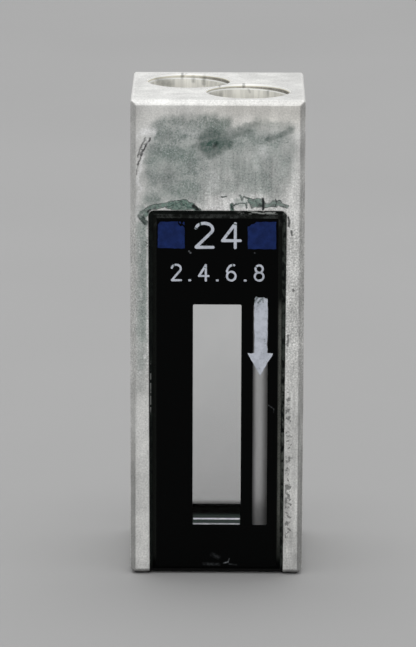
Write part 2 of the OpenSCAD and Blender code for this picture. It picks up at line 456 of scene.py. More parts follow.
PALE = [
    ((1.2, 33.45), (2.3, 33.6), 0.35, 0.25, 0.3),
    ((-0.5, 29.7), (-0.2, 28.9), 0.3, 0.3, 0.3),
    ((-2.5, 32.9), (-1.6, 32.5), 0.22, 0.25, 0.4),
    ((3.2, 31.7), (3.3, 31.2), 0.25, 0.2, 0.35),
    ((0.3, 27.9), (0.9, 27.4), 0.3, 0.2, 0.35),
    ((1.3, 27.95), (2.1, 27.75), 0.15, 0.15, 0.2),
    ((2.2, 28.2), (2.9, 28.1), 0.15, 0.15, 0.3),
    ((-1.1, 29.5), (-0.6, 27.6), 0.35, 0.3, 0.12),
    ((0.0, 33.9), (0.8, 34.0), 0.15, 0.15, 0.4),
    ((-4.9, 32.6), (-5.2, 32.0), 0.2, 0.2, 0.3),
    ((-4.6, 32.8), (-5.3, 32.75), 0.2, 0.15, 0.9),
    ((-5.0, 32.2), (-5.35, 31.5), 0.07, 0.06, 0.9),
    ((-5.35, 31.0), (-5.51, 30.2), 0.1, 0.08, 0.9),
    ((-5.51, 30.2), (-5.7, 28.2), 0.09, 0.08, 0.8),
    ((-5.81, 32.3), (-5.3, 32.6), 0.07, 0.06, 0.8),
    ((-0.7, 27.3), (0.8, 27.25), 0.28, 0.2, 0.4),
    ((-5.75, 27.6), (-5.8, 26.6), 0.2, 0.2, 0.5),
    ((-4.99, 25.6), (-5.0, 16.5), 0.06, 0.06, 0.45),
    ((-5.22, 16.45), (-5.24, 16.2), 0.06, 0.05, 0.9),
    ((-5.5, 15.15), (-5.5, 15.0), 0.06, 0.05, 0.8),
    ((-5.45, 21.2), (-5.5, 20.6), 0.08, 0.08, 0.5),
    ((-5.6, 24.8), (-5.6, 23.9), 0.07, 0.08, 0.5),
]
GOUGE = [
    ((-4.84, 32.23), (-5.1, 31.76), 0.07, 0.05, 0.95),
    ((-5.1, 31.76), (-5.46, 31.03), 0.07, 0.05, 0.95),
    ((-5.46, 31.03), (-5.71, 30.31), 0.05, 0.04, 0.8),
    ((-5.71, 30.31), (-5.81, 29.58), 0.035, 0.03, 0.6),
    ((-5.15, 32.28), (-5.51, 31.55), 0.055, 0.05, 0.85),
    ((-5.51, 31.55), (-5.69, 30.93), 0.05, 0.04, 0.8),
    ((-5.36, 31.85), (-5.12, 31.8), 0.04, 0.04, 0.6),
    ((-5.5, 31.5), (-5.3, 31.35), 0.05, 0.04, 0.7),
    ((-5.62, 31.1), (-5.42, 31.2), 0.06, 0.05, 0.8),
]
# Nicks on the far rims of the ports and dirt running down their walls: streaks in space, with
# heights from the top face
RIM_MARKS = [
    ((-2.67, 5.05, -0.25), (-2.67, 5.42, 0.0), 0.11, 0.09, 0.6),
    ((-2.5, 5.2, -0.1), (-2.3, 5.35, 0.0), 0.06, 0.06, 0.25),
    ((-1.87, 5.09, -0.15), (-1.85, 5.09, -0.55), 0.12, 0.12, 0.4),
    ((-1.08, 4.9, -0.1), (-1.06, 4.9, -0.7), 0.14, 0.12, 0.45),
    ((-4.4, 4.0, -0.4), (-3.6, 4.7, -0.7), 0.3, 0.25, 0.4),
    ((1.84, 0.72, -0.2), (1.84, 0.98, 0.0), 0.1, 0.08, 0.6),
    ((2.15, 0.7, -0.3), (2.3, 0.7, -0.6), 0.06, 0.08, 0.35),
    ((3.6, 0.32, -0.4), (3.62, 0.32, -0.8), 0.08, 0.07, 0.3),
    ((-0.6, -1.4, -0.5), (0.2, -0.2, -0.7), 0.25, 0.2, 0.35),
]
# Pale scuffs and specks on the black front
SCUFFS = [
    ((0.95, 1.14), (0.86, 0.9), 0.035, 0.04, 0.75),
    ((0.86, 0.9), (0.55, 0.8), 0.04, 0.04, 0.6),
    ((0.95, 0.75), (1.45, 0.68), 0.04, 0.06, 0.12),
    ((-0.9, 0.75), (0.2, 0.7), 0.08, 0.1, 0.1),
    ((-0.3, 1.45), (0.15, 1.25), 0.12, 0.12, 0.07),
    ((-2.03, 24.0), (-1.93, 23.9), 0.05, 0.04, 0.7),
    ((2.66, 23.9), (2.7, 23.9), 0.04, 0.04, 0.3),
    ((3.68, 12.69), (4.12, 12.4), 0.025, 0.02, 0.25),
    ((4.12, 12.4), (4.1, 12.1), 0.025, 0.02, 0.2),
]
# Damage to the arrow's top and gaps worn into the numbers
INK_DAMAGE = [
    ((-1.3, 26.25), (-1.2, 25.8), 0.07, 0.04, 1.1),
    ((-1.66, 25.75), (-1.4, 25.62), 0.04, 0.04, 1.0),
    ((0.62, 25.3), (0.85, 25.12), 0.03, 0.04, 0.7),
    ((1.1, 26.05), (1.42, 25.95), 0.05, 0.04, 1.0),
    ((-3.14, 23.15), (-3.08, 22.85), 0.05, 0.03, 1.1),
    ((-0.95, 22.85), (-0.7, 22.75), 0.025, 0.03, 0.8),
    ((1.05, 23.15), (1.12, 22.9), 0.05, 0.03, 1.1),
    ((2.6, 22.95), (2.85, 22.85), 0.04, 0.03, 1.0),
    ((2.65, 20.3), (2.85, 20.6), 0.1, 0.08, 0.8),
    ((2.95, 20.25), (3.25, 20.6), 0.07, 0.06, 0.8),
    ((3.25, 20.6), (3.3, 20.3), 0.06, 0.05, 0.6),
    ((2.9, 20.0), (3.0, 20.15), 0.05, 0.05, 0.35),
    ((3.45, 20.6), (3.62, 20.5), 0.06, 0.05, 0.4),
]


FLAT = (1.0, 0.0, 1.0)                   # times a place: the same place without its depth


def spot(point):
    """A point in space; one with two numbers lies on the front, across and up, and the height
    of one with three counts from the top face."""
    return (point[0], 0.0, point[1]) if len(point) == 2 else (*point[:2], point[2] + TOP)


def blotches(graph, place, marks):
    """The strongest of a list of streaks, as one mask."""
    total = None
    for start, end, half_width, softness, strength in marks:
        mask = graph.group("Streak", {
            "Place": place, "From": spot(start), "To": spot(end), "Half Width": half_width,
            "Softness": softness, "Strength": strength})
        total = mask if total is None else most(total, mask)
    return total


# Parts of the front that carry their own stains, as (left, right, bottom, top); one material
# can hold only some forty streaks, so each part gets a copy with the streaks that reach it
HEAD_FOOT, HALFWAY, ABOVE = 26.0, 29.6, 35.1
LEFT, DIVIDE, RIGHT = -6.3, -1.0, 6.3
REGIONS = {
    "lower left": (LEFT, DIVIDE, HEAD_FOOT, HALFWAY),
    "lower right": (DIVIDE, RIGHT, HEAD_FOOT, HALFWAY),
    "upper left": (LEFT, DIVIDE, HALFWAY, ABOVE),
    "upper right": (DIVIDE, RIGHT, HALFWAY, ABOVE),
}
REST = (LEFT, RIGHT, 0.0, HEAD_FOOT)
TEAR = 0.7                               # how far torn outlines stray from a streak


def reaching(marks, region):
    """The streaks of a list that reach into a region."""
    left, right, bottom, top = region
    found = []
    for mark in marks:
        (ax, az), (bx, bz), half_width, softness, _ = mark
        reach = half_width + softness + TEAR
        if (min(ax, bx) - reach < right and max(ax, bx) + reach > left
                and min(az, bz) - reach < top and max(az, bz) + reach > bottom):
            found.append(mark)
    return found


def metal_material(name, region):
    """Satin metal, worn, with the stains that reach one region of the front."""
    look = bpy.context.scene.cuvette_housing
    graph, place = new_material(name, look.metal_colour)
    x, y, z = graph.split(place)
    facing = graph.split(graph.facing())
    front = fall(facing[1], -0.9, -0.6)
    top = ramp(facing[2], 0.5, 0.9)
    value, height = graph.group("Grain", {"Place": place, "Size": look.grain_size / MM,
                                          "Mottle Size": 1.6}, ("Value", "Height"))

    # Ragged copies of the place, so that stains get torn outlines
    def torn(scale, reach):
        warp = graph.add("ShaderNodeTexNoise", {"Vector": place, "Scale": scale, "Detail": 4.0,
                                                "Roughness": 0.62}, 1)
        warp = graph.scaled(graph.vector("SUBTRACT", warp, (0.5, 0.5, 0.5)), reach)
        return graph.vector("MULTIPLY", graph.vector("ADD", place, warp), FLAT)

    loose, tight = torn(0.9, 0.5 if region == REST else 1.3), torn(2.6, 0.32)
    blotch = graph.noise(place, 1.1, 5.0, 0.66)
    speckle = graph.noise(place, 4.5, 3.0, 0.7)

    # Bare metal: a slight mottle, the fine grain and upright handling marks
    shade = spread(value, 1.0 - look.grain_depth, 1.0 + look.grain_depth)
    # The legs, their upper half most, and the head above the window are rougher blasted
    legs = ramp(x, -4.0, 4.0, 0.6, 0.85) * ramp(z, 12.0, 17.0, 0.12)
    legs *= fall(z, HEAD_FOOT - 1.0, HEAD_FOOT + 1.0)
    band = ramp(z, HEAD_FOOT, HEAD_FOOT + 1.0) * ramp(z, 29.3, 30.3, 0.4, 0.0)
    legs += band * ramp(x, -2.2, -1.4)
    shade *= spread(height, 1.0 - look.grain_depth, 1.0 + look.grain_depth) ** legs
    # Painted light: the lower part of the left leg is painted lighter
    low_left_light = fall(x, -4.0, 4.0) * fall(z, 9.0, 15.0)
    shade *= 1.0 + low_left_light * 0.12
    # Painted shade: the head's front darker near its top and towards its left edge
    shade *= 1.0 - front * ramp(z, 33.3, 34.2, 0.0, 0.13)
    shade *= 1.0 - front * ramp(x, -5.7, -5.2, 0.09, 0.0) * ramp(z, HEAD_FOOT, HEAD_FOOT + 1.0)
    # Painted shade: chamfers darker to the foot, the right more; a contact shadow at the feet
    slant = ramp(abs(facing[0]), 0.4, 0.6) * ramp(abs(facing[1]), 0.4, 0.6)
    dull = ramp(x, -4.0, 4.0, 0.38, 0.3) * fall(z, 6.0, 15.0)
    dull += ramp(x, -4.0, 4.0, 0.0, 0.14)
    shade *= 1.0 - slant * dull
    ragged_z = z + (graph.noise(place, 2.0, 3.0) - 0.5) * 0.25
    shade *= ramp(ragged_z, 0.0, 0.45, 0.06, 1.0)
    runs_down = spread(graph.noise(place, 1.7, 4.0, 0.65, (1.5, 1.5, 0.16)), 0.8, 1.2)
    shade *= runs_down ** (ramp(x, -2.6, -1.6) * fall(z, 30.0, 32.0))
    shade *= spread(graph.noise(place, 1.0, 3.0, 0.6, (1.6, 1.6, 0.12)), 0.95, 1.05)

    # Pits on the right leg, near its outer edge
    pits_where = ramp(x, 4.9, 5.0) * ramp(x, 5.25, 5.7, 1.0, 0.2)
    pits_where *= ramp(z, 12.5, 15.5, 1.0, 0.55) * ramp(z, 21.0, 25.0, 1.0, 0.3)
    pits_where *= ramp(z, 1.5, 3.5, 0.4)
    pits = graph.group("Pits", {"Place": place, "Size": 0.27, "Where": pits_where}) * front

    def amount(marks, where, low, high, texture):
        near = reaching(marks, region)
        if not near:
            return front * 0.0
        mask = blotches(graph, where, near) * front
        return mask * ramp(texture, 0.28, 0.66, low, high, "LINEAR")

    haze = amount(HAZE, loose, 0.8 if region == REST else 0.45, 1.15, blotch)
    green = amount(GREEN, loose, 0.3, 1.3, speckle)
    dark = amount(DARK_GREEN, loose, 0.55, 1.2, speckle)
    pale = amount(PALE, loose, 0.6, 1.2, speckle)
    crust = amount(CRUST, tight, 0.8, 1.2, speckle)
    core = amount(CRUST_CORE, tight, 0.8, 1.2, speckle)
    gouge = amount(GOUGE, tight, 0.5, 1.3, speckle)
    colour = mix(clamped(haze * 0.9), look.metal_colour, look.haze_colour)
    colour = mix(clamped(green * 0.7), colour, look.green_colour)
    colour = mix(clamped(pale * 0.9), colour, (0.8, 0.8, 0.8))
    fleck = graph.noise(place, 7.5, 3.0, 0.75)
    stained = clamped(most(haze, green))
    colour = mix(stained * ramp(fleck, 0.52, 0.68, 0.0, 0.75), colour, (0.62, 0.63, 0.63))
    colour = mix(stained * ramp(fleck, 0.33, 0.47, 0.8, 0.0), colour, (0.12, 0.17, 0.15))
    colour = tinted(colour, shade)
    warm = front * ramp(z, 32.4, 33.8) * ramp(x, -3.0, 1.5, 0.3, 1.0)
    colour = mix(warm, colour, tinted(colour, (1.0, 0.982, 0.955)))
    colour = mix(clamped(dark * 0.9), colour, (0.052, 0.1, 0.083))
    flaky = graph.noise(place, 3.2, 5.0, 0.75, (1.0, 1.0, 1.6))
    teal = mix(ramp(flaky, 0.38, 0.58), (0.022, 0.048, 0.04), (0.155, 0.245, 0.205))
    teal = mix(ramp(flaky, 0.61, 0.68, 0.0, 0.6), teal, (0.4, 0.45, 0.42))
    colour = mix(clamped(crust * 0.95), colour, teal)
    border = ramp(crust, 0.12, 0.35) * fall(crust, 0.45, 0.8) * ramp(blotch, 0.35, 0.6, 0.2)
    colour = mix(border, colour, (0.03, 0.045, 0.04))
    colour = mix(clamped(core * 1.0), colour, (0.008, 0.012, 0.011))
    colour = mix(clamped(gouge * 0.9), colour, (0.07, 0.07, 0.072))
    colour = mix(pits * 0.8, colour, (0.2, 0.205, 0.2))

    # Streaky port walls, painted highlight and shade at the mouth, yellowed far rims
    painted_glint = 0.0
    if region == REST:
        runs = graph.noise(place, 3.0, 3.0, 0.65, (1.0, 1.0, 0.08))
        wall = mix(ramp(runs, 0.38, 0.62), look.wall_colour, darker(look.wall_colour, 0.84))
        mouth = look.lip_radius / MM
        step_r = look.step_radius / MM
        for port, clean in zip(PORTS, (0.0, 0.35)):
            away = graph.vector("DISTANCE", graph.join(x, y, 0.0), (port.x, port.y, 0.0))
            # Painted highlight: the narrow chamfer below the step is near white
            colour = mix(fall(away, mouth - 0.06, mouth - 0.04), colour, (0.97, 0.97, 0.95))
            colour = mix(fall(away, step_r - 0.1, step_r - 0.085), colour, wall)
            bevel = ramp(away, step_r, step_r + 0.01) * fall(z, TOP - 0.02, TOP - 0.005)
            bevel *= fall(away, mouth, mouth + 0.02)
            # Bevel cream below, a painted highlight and glint near the top
            cream_and_highlight = mix(ramp(z, TOP - 0.17, TOP - 0.11), (0.74, 0.7, 0.56), (0.98, 0.98, 0.96))
            colour = mix(bevel, colour, cream_and_highlight)
            painted_glint = most(painted_glint, bevel * ramp(z, TOP - 0.17, TOP - 0.1, 0.03, 0.16))
            # Painted shade on the upright step, more to the right, less in the second port
            step_shade = graph.math("COMPARE", away, step_r + 0.005, 0.02)
            step_shade *= fall(z, TOP - 0.205, TOP - 0.185) * ramp(speckle, 0.3, 0.6, 0.75)
            across = ramp(x - port.x, -2.0, 2.8, 0.5 + clean, 0.27, "LINEAR")
            colour = mix(step_shade, colour, tinted(across, (1.0, 0.96, 0.84)))
        marks = clamped(blotches(graph, place, RIM_MARKS)
                        * ramp(speckle, 0.3, 0.6, 0.7, 1.1, "LINEAR"))
        colour = mix(marks, colour, (0.06, 0.065, 0.045))

    # Worn edges show brighter, smoother metal; streaks on top from handling
    wear = graph.group("Edge wear", {"Place": place, "Low": tuple(HOUSE_LOW),
                                     "High": tuple(HOUSE_HIGH), "Width": 0.28})
    # Painted highlight: along the top edges the wear is near total and near white
    above = ramp(z, TOP - 0.5, TOP - 0.3)
    worn = wear * ramp(speckle, 0.35, 0.6, 0.25, 0.8)
    worn = clamped(most(worn, wear * above * ramp(speckle, 0.3, 0.5, 0.9, 1.0)))
    colour = mix(worn, colour, mix(above, (0.66, 0.66, 0.645), look.rim_highlight_colour))
    hair = graph.group("Scratches", {"Place": place, "Stretch": (0.12, 1.0, 1.0), "Scale": 3.0,
                                     "Amount": 0.5})
    colour = mix(top * hair * 0.35, colour, (0.42, 0.42, 0.42))
    # Painted shade: the top face darker towards the right
    colour = mix(top * ramp(x, 3.0, 5.5, 0.0, 0.16), colour, (0.3, 0.3, 0.3))

    dirt = most(crust, dark, core)
    rough = spread(value, look.roughness - 0.06, look.roughness + 0.07)
    rough = clamped(rough + haze * 0.12 + dirt * 0.3 - worn * 0.12)
    bare = clamped(1.0 - most(dirt, most(haze, green) * 0.6) * 0.95)
    relief = height * 0.55 + crust * 1.6 - most(gouge, pits) * 1.8
    return graph.surface(Base_Color=colour, Metallic=bare, Roughness=rough,
                         Normal=graph.bump(relief, 0.02, 0.55), Emission_Color=painted_glint,
                         Emission_Strength=1.0)


# ---------------------------------------------------------------- glass and adhesive

SILICA_IOR = 1.458


@once
def black_glass_material():
    """Polished black silica: deep black, faint dust, a greyer ground bevel."""
    look = bpy.context.scene.cuvette_cell
    graph, place = new_material("black silica", look.black_colour)
    x, y, z = graph.split(place)
    face = ramp(abs(y), abs(FACE_Y) - 0.03, abs(FACE_Y) - 0.01)
    dust = graph.group("Specks", {"Place": place, "Spacing": 0.9, "Size": 0.07, "Where": 0.16})
    hair = graph.group("Scratches", {"Place": place, "Stretch": (1.0, 1.0, 0.3), "Scale": 2.0,
                                     "Amount": 0.12})
    cloud = graph.noise(place, 0.8, 3.0)
    colour = mix(dust * 0.35, look.black_colour, (0.09, 0.1, 0.11))
    colour = mix(hair * 0.12, colour, (0.05, 0.06, 0.06))
    scuffs = blotches(graph, graph.vector("MULTIPLY", place, FLAT), SCUFFS) * face
    scuffs *= ramp(graph.noise(place, 5.0, 4.0, 0.7), 0.4, 0.6, 0.2, 1.0)
    colour = mix(scuffs, colour, (0.3, 0.32, 0.34))
    ground = 1.0 - face
    fine = graph.noise(place, 12.0, 2.0, 0.6)
    lit = (ramp(x, CELL_HIGH.x - 0.5, CELL_HIGH.x - 0.35)
           * ramp(z, WINDOW[2] - 2.5, WINDOW[2] + 1.5, 0.2, 1.0))
    lit *= fall(z, WINDOW[3] - 0.5, WINDOW[3] + 0.5)
    lit *= ramp(cloud, 0.3, 0.7, 0.7, 1.1)
    bevel = mix(lit, look.bevel_colour, look.lit_bevel_colour)
    # Top bevel mottled grey: dust and a painted reflection of the light from above
    high = ramp(z, 25.6, 26.3)
    mottle = graph.noise(place, 1.6, 4.0, 0.65)
    bevel = mix(ramp(mottle, 0.42, 0.62) * high, bevel, look.dust_and_sheen_bevel_colour)
    # Painted shade: the bevel turns black near the foot
    bevel = mix(fall(z, 0.7, 1.6), bevel, darker(look.black_colour, 0.5))
    colour = mix(ground * ramp(fine, 0.35, 0.65, 0.5, 1.0), colour, bevel)
    rough = mix(face, (0.45, 0.45, 0.45), (0.06, 0.06, 0.06))
    rough = graph.split(rough)[0] + (dust + cloud * 0.12) * 0.3
    return graph.surface(Base_Color=colour, Roughness=rough, Specular_IOR_Level=0.03,
                         Normal=graph.bump(fine * ground, 0.01, 0.4))


@once
def joint_glass_material():
    """Black silica where it is fused to the clear blocks: no gloss at the joint."""
    look = bpy.context.scene.cuvette_cell
    graph, place = new_material("fused joint", look.black_colour)
    cloud = graph.noise(place, 3.0, 3.0)
    colour = mix(ramp(cloud, 0.3, 0.7), (0.001, 0.001, 0.001), (0.004, 0.005, 0.005))
    # Light led down the clear block glows faintly round the foot of the window
    x, y, z = graph.split(place)
    window = ramp(x, WINDOW[0], WINDOW[0] + 0.05) * fall(x, WINDOW[1] - 0.05, WINDOW[1])
    behind = (ramp(z, WINDOW[2] - 0.4, WINDOW[2] - 0.1, 0.03, 0.0)
              * fall(abs(y + 0.5), 0.0, 0.1))
    under = (ramp(z, WINDOW[2] + 0.02, WINDOW[2] + 0.1, 0.035, 0.0)
             * fall(y, SEAM_Y - 0.05, SEAM_Y))
    tint = tinted(most(behind, under) * window, (0.8, 1.05, 0.95))
    return graph.surface(Base_Color=colour, Roughness=ramp(cloud, 0.3, 0.7, 0.7, 0.9),
                         Specular_IOR_Level=0.0, Emission_Color=tint, Emission_Strength=1.0)


@once
def clear_glass_material():
    """Clear silica, polished, with a trace of dust."""
    graph, place = new_material("clear silica", (0.9, 0.93, 0.94))
    dust = graph.group("Specks", {"Place": place, "Spacing": 1.3, "Size": 0.06, "Where": 0.1})
    cloud = graph.noise(place, 0.5, 3.0)
    colour = mix(ramp(cloud, 0.3, 0.7), (0.975, 0.98, 0.98), (1.0, 1.0, 1.0))
    colour = mix(dust * 0.5, colour, (0.5, 0.5, 0.5))
    _, y, z = graph.split(place)
    # Painted shade: the chamber darker towards its foot, dark just above the foot
    inside = fall(abs(y), 0.6, 0.7)
    film = inside * ramp(z, 4.5, 17.5, 1.0, 0.0, "LINEAR")
    colour = mix(film, colour, (0.71, 0.71, 0.71))
    foot = inside * fall(z, CHAMBER_FOOT + 0.05, CHAMBER_FOOT + 0.4)
    colour = mix(foot, colour, (0.1, 0.1, 0.1))
    return graph.surface(Base_Color=colour, Roughness=dust * 0.3, IOR=SILICA_IOR,
                         Specular_Tint=(0.2, 0.2, 0.2), Transmission_Weight=1.0)


@once
def ground_glass_material():
    """Ground silica of the channel's walls, which scatters the light that comes through."""
    look = bpy.context.scene.cuvette_cell
    graph, place = new_material("ground silica", (0.7, 0.72, 0.76))
    x, _, z = graph.split(place)
    left, right, bottom, _ = STRIP
    # Painted light: brightest a third of the way across, dimmer to the sides and foot
    sheen = ramp(x, left, left + 0.33, 0.05, 1.0) * ramp(x, left + 0.45, right - 0.03, 1.0, 0.06)
    foot_shade = ramp(z, bottom + 0.2, bottom + 4.0, 0.82, 1.02)
    fine = graph.noise(place, 5.0, 3.0, 0.6, (1.0, 1.0, 0.25))
    level = sheen * foot_shade * spread(fine, 0.85, 1.05)
    return graph.surface(Base_Color=tinted(look.frost_colour, level), Transmission_Weight=0.9,
                         Roughness=ramp(fine, 0.3, 0.7, 0.5, 0.7), IOR=SILICA_IOR)


@once
def seam_material():
    """Ground edge of a land, which shows as a pale line with a painted glow."""
    look = bpy.context.scene.cuvette_cell
    graph, place = new_material("ground seam", look.seam_colour)
    fine = graph.noise(place, 4.0, 4.0, 0.7, (0.5, 1.0, 2.0))
    colour = mix(ramp(fine, 0.35, 0.65), (0.5, 0.5, 0.56), look.seam_colour)
    # Painted glow, strong on the bar at the joint and faint on the front bar
    lit = ramp(graph.split(place)[1], SEAM_Y - 0.5, SEAM_Y - 0.1, 0.04, 0.5)
    return graph.surface(Base_Color=colour, Roughness=ramp(fine, 0.3, 0.7, 0.45, 0.8),
                         Emission_Color=tinted(colour, lit), Emission_Strength=1.0)


@once
def adhesive_material():
    """Black adhesive bead, dull and greenish with dirt."""
    graph, place = new_material("black adhesive", (0.02, 0.025, 0.022))
    lump = graph.noise(place, 2.2, 4.0, 0.65)
    fine = graph.noise(place, 9.0, 3.0, 0.65)
    x, y, z = graph.split(place)
    colour = mix(ramp(lump, 0.35, 0.65), (0.002, 0.003, 0.003), (0.008, 0.011, 0.009))
    colour = mix(ramp(fine, 0.6, 0.78, 0.0, 0.5), colour, (0.05, 0.065, 0.058))
    front = fall(y, -0.5, 0.5)
    # On the right: dust, paler halfway up beside the window as a painted reflection
    right = ramp(x, 4.5, 4.8) * ramp(lump, 0.4, 0.6)
    middle = ramp(z, 6.0, 9.0) * fall(z, 14.0, 17.0)
    dust = mix(middle, (0.045, 0.052, 0.046), (0.085, 0.092, 0.083))
    colour = mix(right * front, colour, dust)
    # Pale dashes along the bead's top: a painted highlight, with wear
    dashes = graph.noise(place, 1.7, 3.0, 0.6, (1.0, 0.3, 3.0))
    worn = ramp(z, 26.64, 26.7) * ramp(x, 1.2, 2.4) * ramp(dashes, 0.5, 0.56)
    colour = mix(worn * front, colour, (0.42, 0.44, 0.42))
    # A broken pale line halfway up the left bead
    broken = graph.noise(place, 1.7, 3.0, 0.6, (0.3, 0.3, 2.0))
    line = ramp(abs(x - (CELL_LOW.x + 0.06)), 0.03, 0.06, 0.7, 0.0)
    line *= ramp(z, 11.8, 12.4) * fall(z, 15.2, 16.0) * ramp(broken, 0.47, 0.53)
    colour = mix(line * front, colour, (0.24, 0.25, 0.24))
    # Painted shade: the bead turns black near the floor
    colour = mix(fall(z, 0.3, 0.8), colour, (0.001, 0.001, 0.001))
    return graph.surface(Base_Color=colour, Roughness=ramp(fine, 0.3, 0.7, 0.55, 0.9),
                         Specular_IOR_Level=0.12, Normal=graph.bump(lump + fine * 0.4, 0.06, 0.8))


# ---------------------------------------------------------------- inks

@once
def blue_ink_material():
    """Blue ink of the two corner squares."""
    look = bpy.context.scene.cuvette_print
    graph, place = new_material("blue ink", look.blue_colour)
    patch, fine = graph.noise(place, 1.8, 4.0, 0.6), graph.noise(place, 11.0, 3.0, 0.65)
    colour = mix(ramp(patch, 0.3, 0.7), look.blue_colour, darker(look.blue_colour, 0.62))
    colour = mix(ramp(fine, 0.62, 0.74, 0.0, 0.7), colour, (0.006, 0.006, 0.01))
    return graph.surface(Base_Color=colour, Roughness=ramp(fine, 0.3, 0.7, 0.45, 0.65),
                         Specular_IOR_Level=0.06, Normal=graph.bump(fine, 0.004, 0.4))


@once
def white_ink_material():
    """White ink of the numbers and the arrow, slightly worn through."""
    look = bpy.context.scene.cuvette_print
    graph, place = new_material("white ink", look.white_colour)
    patch, fine = graph.noise(place, 2.4, 4.0, 0.62), graph.noise(place, 9.0, 3.0, 0.7)
    colour = mix(ramp(patch, 0.35, 0.68), look.white_colour, look.dull_colour)
    holes = ramp(fine * 0.7 + patch * 0.3, 0.6, 0.68, 0.0, 0.85)
    colour = mix(holes, colour, (0.035, 0.05, 0.045))
    damage = blotches(graph, graph.vector("MULTIPLY", place, FLAT), INK_DAMAGE)
    damage = clamped(damage * ramp(fine, 0.35, 0.55, 0.5, 1.1))
    colour = mix(damage, colour, (0.05, 0.075, 0.065))
    return graph.surface(Base_Color=colour, Roughness=ramp(fine, 0.3, 0.7, 0.5, 0.7),
                         Specular_IOR_Level=0.1, Normal=graph.bump(fine, 0.005, 0.5))


# ---------------------------------------------------------------- mesh helpers

def in_scene(name, data):
    """A new object with this data, in the scene."""
    made = bpy.data.objects.new(name, data)
    bpy.context.scene.collection.objects.link(made)
    return made


def new_piece(name, mesh, nodes=()):
    """Puts a finished mesh into the scene as a piece of the part."""
    piece = in_scene(name, mesh)
    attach(piece, BODY)
    if nodes:
        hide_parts(*nodes)


def dress(mesh, *materials):
    """Gives the mesh these materials and no others."""
    mesh.materials.clear()
    for material in materials:
        mesh.materials.append(material)
    return mesh


def written(bm, mesh):
    """Writes the working mesh into a mesh, or a new one of that name, and frees it."""
    if isinstance(mesh, str):
        mesh = bpy.data.meshes.new(mesh)
    bm.to_mesh(mesh)
    bm.free()
    return mesh


def working_copy(mesh):
    bm = bmesh.new()
    bm.from_mesh(mesh)
    return bm


def merged_copy(node, name):
    """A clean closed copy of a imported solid, with whole flat faces."""
    bm = working_copy(frame["nodes"][node].data)
    bmesh.ops.remove_doubles(bm, verts=bm.verts, dist=WELD)
    bmesh.ops.dissolve_limit(bm, angle_limit=math.radians(0.5), verts=bm.verts, edges=bm.edges)
    return written(bm, name)


def applied(piece):
    """The piece's mesh with its modifiers applied, on a fresh mesh."""
    depsgraph = bpy.context.evaluated_depsgraph_get()
    mesh = bpy.data.meshes.new_from_object(piece.evaluated_get(depsgraph), depsgraph=depsgraph)
    piece.modifiers.clear()
    return mesh


def shade_smooth(mesh, angle):
    """Smooth faces, with edges sharper than the angle kept sharp."""
    mesh.shade_smooth()
    mesh.set_sharp_from_angle(angle=math.radians(angle))


def bridge(bm, ring_a, ring_b):
    """Faces between two rings of equally many points."""
    for i in range(len(ring_a)):
        j = (i + 1) % len(ring_a)
        bm.faces.new((ring_a[i], ring_a[j], ring_b[j], ring_b[i]))


def plates(name, outlines, y_back, thickness):
    """Closed flat plates standing in the X-Z plane from outlines in millimetres, facing front."""
    bm = bmesh.new()
    for outline in outlines:
        loops = [outline] if isinstance(outline[0][0], (int, float)) else outline
        for y in (y_back - thickness, y_back):
            verts = [[bm.verts.new((px * MM, y * MM, pz * MM)) for px, pz in loop]
                     for loop in loops]
            edges = [bm.edges.new((ring[i], ring[(i + 1) % len(ring)]))
                     for ring in verts for i in range(len(ring))]
            bmesh.ops.triangle_fill(bm, edges=edges, use_beauty=True)
            if y < y_back:
                front = verts
        for ring_a, ring_b in zip(front, verts):
            bridge(bm, ring_a, ring_b)
    bmesh.ops.recalc_face_normals(bm, faces=bm.faces)
    return written(bm, name)


# ---------------------------------------------------------------- thread cutter

CLEARANCE = 0.15                         # how far the cutter reaches into the bore


def thread_tree():
    """Geometry nodes for a helical groove cutter of the 60 degree thread form."""
    sizes = [("Root Radius", 3.0), ("Inner Radius", 2.35), ("Pitch", 1.0), ("Height", 7.0)]
    graph, (root_radius, inner_radius, pitch, height, material) = new_group(
        "Thread cutter", [(label, "NodeSocketFloat", value) for label, value in sizes]
        + [("Material", "NodeSocketMaterial", None)], [("Geometry", "NodeSocketGeometry")],
        "GeometryNodeTree")
    spiral = graph.add("GeometryNodeCurveSpiral", {
        "Resolution": 48, "Rotations": height / pitch, "Start Radius": inner_radius,
        "End Radius": inner_radius, "Height": height, "Reverse": True})
    upright = graph.add("GeometryNodeSetCurveNormal", {"Curve": spiral}, mode="Z_UP")
    # Half widths of the groove: an eighth of the pitch at its root, flanks at 30 degrees
    depth = root_radius - inner_radius
    narrow = pitch / 16.0
    wide = narrow + depth * math.tan(math.radians(30))
    profile = graph.add("GeometryNodeCurvePrimitiveQuadrilateral", {
        "Point 1": graph.join(0.0, wide, 0.0), "Point 2": graph.join(depth, narrow, 0.0),
        "Point 3": graph.join(depth, narrow * -1.0, 0.0),
        "Point 4": graph.join(0.0, wide * -1.0, 0.0)}, mode="POINTS")
    sweep = graph.add("GeometryNodeCurveToMesh", {
        "Curve": upright, "Profile Curve": profile, "Fill Caps": True})
    real = graph.add("GeometryNodeRealizeInstances", {"Geometry": sweep})
    return graph.result({"Geometry": graph.add("GeometryNodeSetMaterial", {
        "Geometry": real, "Material": material})})


